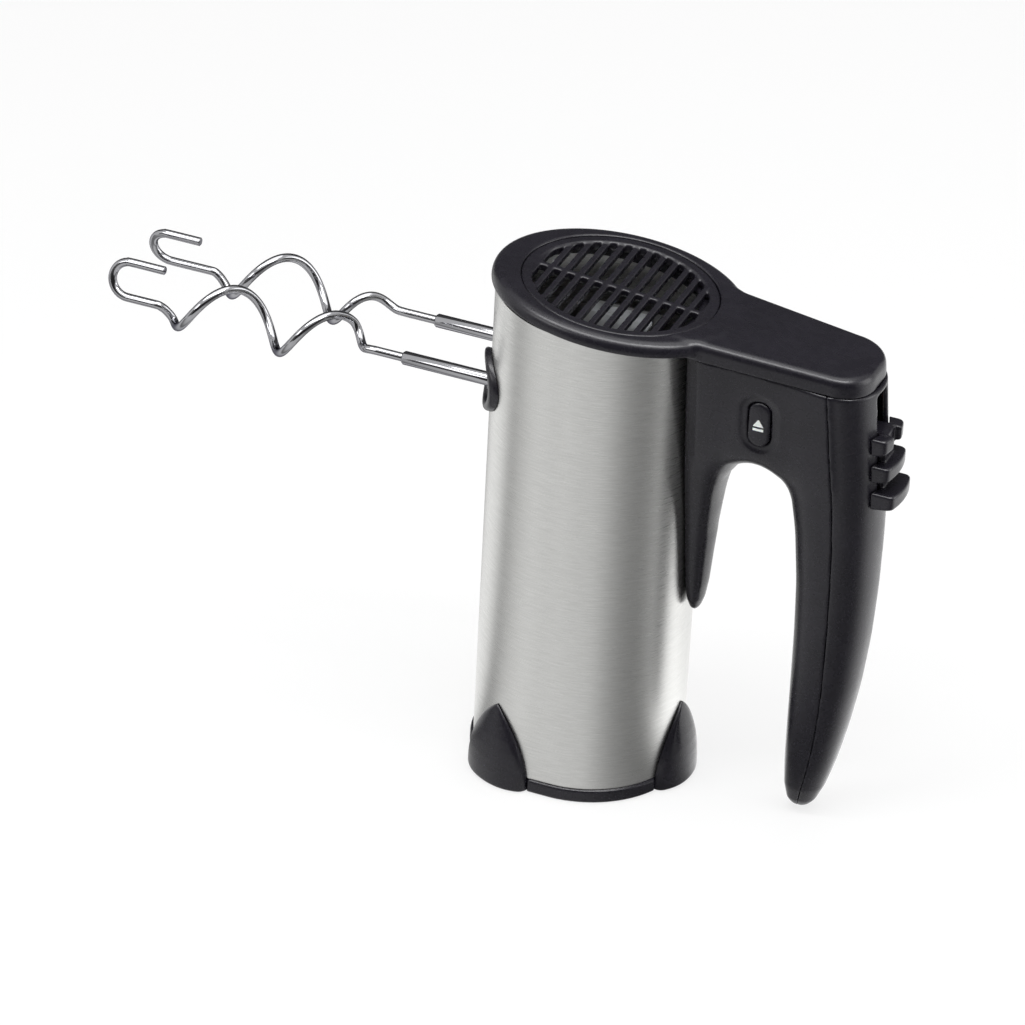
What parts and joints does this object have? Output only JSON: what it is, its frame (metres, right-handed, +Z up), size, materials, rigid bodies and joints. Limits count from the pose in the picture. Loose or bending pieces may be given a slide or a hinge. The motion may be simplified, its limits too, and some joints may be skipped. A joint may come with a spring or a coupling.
{
  "type": "hand mixer",
  "caption": "Upright electric hand mixer with an oval brushed steel body, hooked black handle, vented top, eject button, speed slider and two wire dough hooks.",
  "frame": {"origin": "centre of the underside of the oval base, on the motor's axis", "axes": "+Z up the motor tube, +X towards the handle, so the dough hooks point to -X; -Y is the eject button's side"},
  "size_m": [0.3546, 0.0934, 0.2332],
  "materials": {
    "brushed_tube": "brushed, fine grain across the tube",
    "black_plastic": "satin black moulding",
    "rubber": "matt",
    "gear_housing": "glass filled, dull",
    "natural_nylon": "waxy",
    "chrome_wire": "polished",
    "steel_parts": "zinc plated",
    "laminated_iron": "varnished stack",
    "copper_winding": "enamelled copper",
    "brass_parts": "stamped",
    "carbon": "graphite",
    "switch_case": "moulded",
    "pale_plastic": "translucent white"
  },
  "bodies": {
    "housing": {"body_tube": "brushed_tube", "top_cover": "black_plastic", "vent_grille": "black_plastic", "handle_body": "black_plastic", "handle_back_cover": "black_plastic", "base_cover": "black_plastic", "claw_foot_handle": "black_plastic", "claw_foot_left": "black_plastic", "claw_foot_right": "black_plastic", "foot_pads": "rubber", "cord_grommet": "rubber", "socket_bezel_left": "black_plastic", "socket_bezel_right": "black_plastic", "gearbox_case": "gear_housing", "gearbox_cover": "gear_housing", "gearbox_bracket": "steel_parts", "gearbox_screws": "steel_parts", "bearing_lower": "steel_parts", "bearing_upper": "steel_parts", "stator_core": "laminated_iron", "field_coils": "copper_winding", "motor_cradle": "gear_housing", "stator_bolts": "steel_parts", "brush_holders": "brass_parts", "carbon_brushes": "carbon", "base_screws": "steel_parts", "eject_spring": "steel_parts", "speed_switch": "switch_case", "speed_scale": "pale_plastic"},
    "rotor": {"shaft_with_worm": "steel_parts", "armature_core": "laminated_iron", "armature_windings": "copper_winding", "commutator": "copper_winding", "cooling_fan": "gear_housing"},
    "wheel_left": {"worm_wheel_left": "natural_nylon"},
    "wheel_right": {"worm_wheel_right": "natural_nylon"},
    "hook_left": {"hook_shank_left": "chrome_wire", "dough_hook_left": "chrome_wire"},
    "hook_right": {"hook_shank_right": "chrome_wire", "dough_hook_right": "chrome_wire"},
    "button": {"eject_button": "black_plastic"},
    "ejector": {"eject_slide": "steel_parts"},
    "slider": {"speed_slider": "black_plastic", "slider_carriage": "natural_nylon"}
  },
  "joints": [
    {"name": "rotor_spin", "type": "hinge", "parent": "housing", "child": "rotor", "pos_m": [0, 0, 0.1], "axis": [0, 0, 1], "continuous": true},
    {"name": "wheel_left_spin", "type": "hinge", "parent": "housing", "child": "wheel_left", "pos_m": [0, -0.0175, 0.18], "axis": [1, 0, 0], "continuous": true},
    {"name": "wheel_right_spin", "type": "hinge", "parent": "housing", "child": "wheel_right", "pos_m": [0, 0.0175, 0.18], "axis": [1, 0, 0], "continuous": true},
    {"name": "hook_left_pull", "type": "slide", "parent": "wheel_left", "child": "hook_left", "axis": [-1, 0, 0], "range_m": [0, 0.05]},
    {"name": "hook_right_pull", "type": "slide", "parent": "wheel_right", "child": "hook_right", "axis": [-1, 0, 0], "range_m": [0, 0.05]},
    {"name": "eject_press", "type": "slide", "parent": "housing", "child": "button", "axis": [0, 1, 0], "range_m": [0, 0.0035], "stiffness_N_per_m": 500},
    {"name": "ejector_slide", "type": "slide", "parent": "housing", "child": "ejector", "axis": [-1, 0, 0], "range_m": [0, 0.004]},
    {"name": "speed_slide", "type": "slide", "parent": "housing", "child": "slider", "axis": [0, 0, 1], "range_m": [0, 0.0166]}
  ],
  "couplings": [
    {"joint": "wheel_left_spin", "follows": "rotor_spin", "ratio": -0.05},
    {"joint": "wheel_right_spin", "follows": "rotor_spin", "ratio": 0.05},
    {"joint": "ejector_slide", "follows": "eject_press", "ratio": 1}
  ]
}
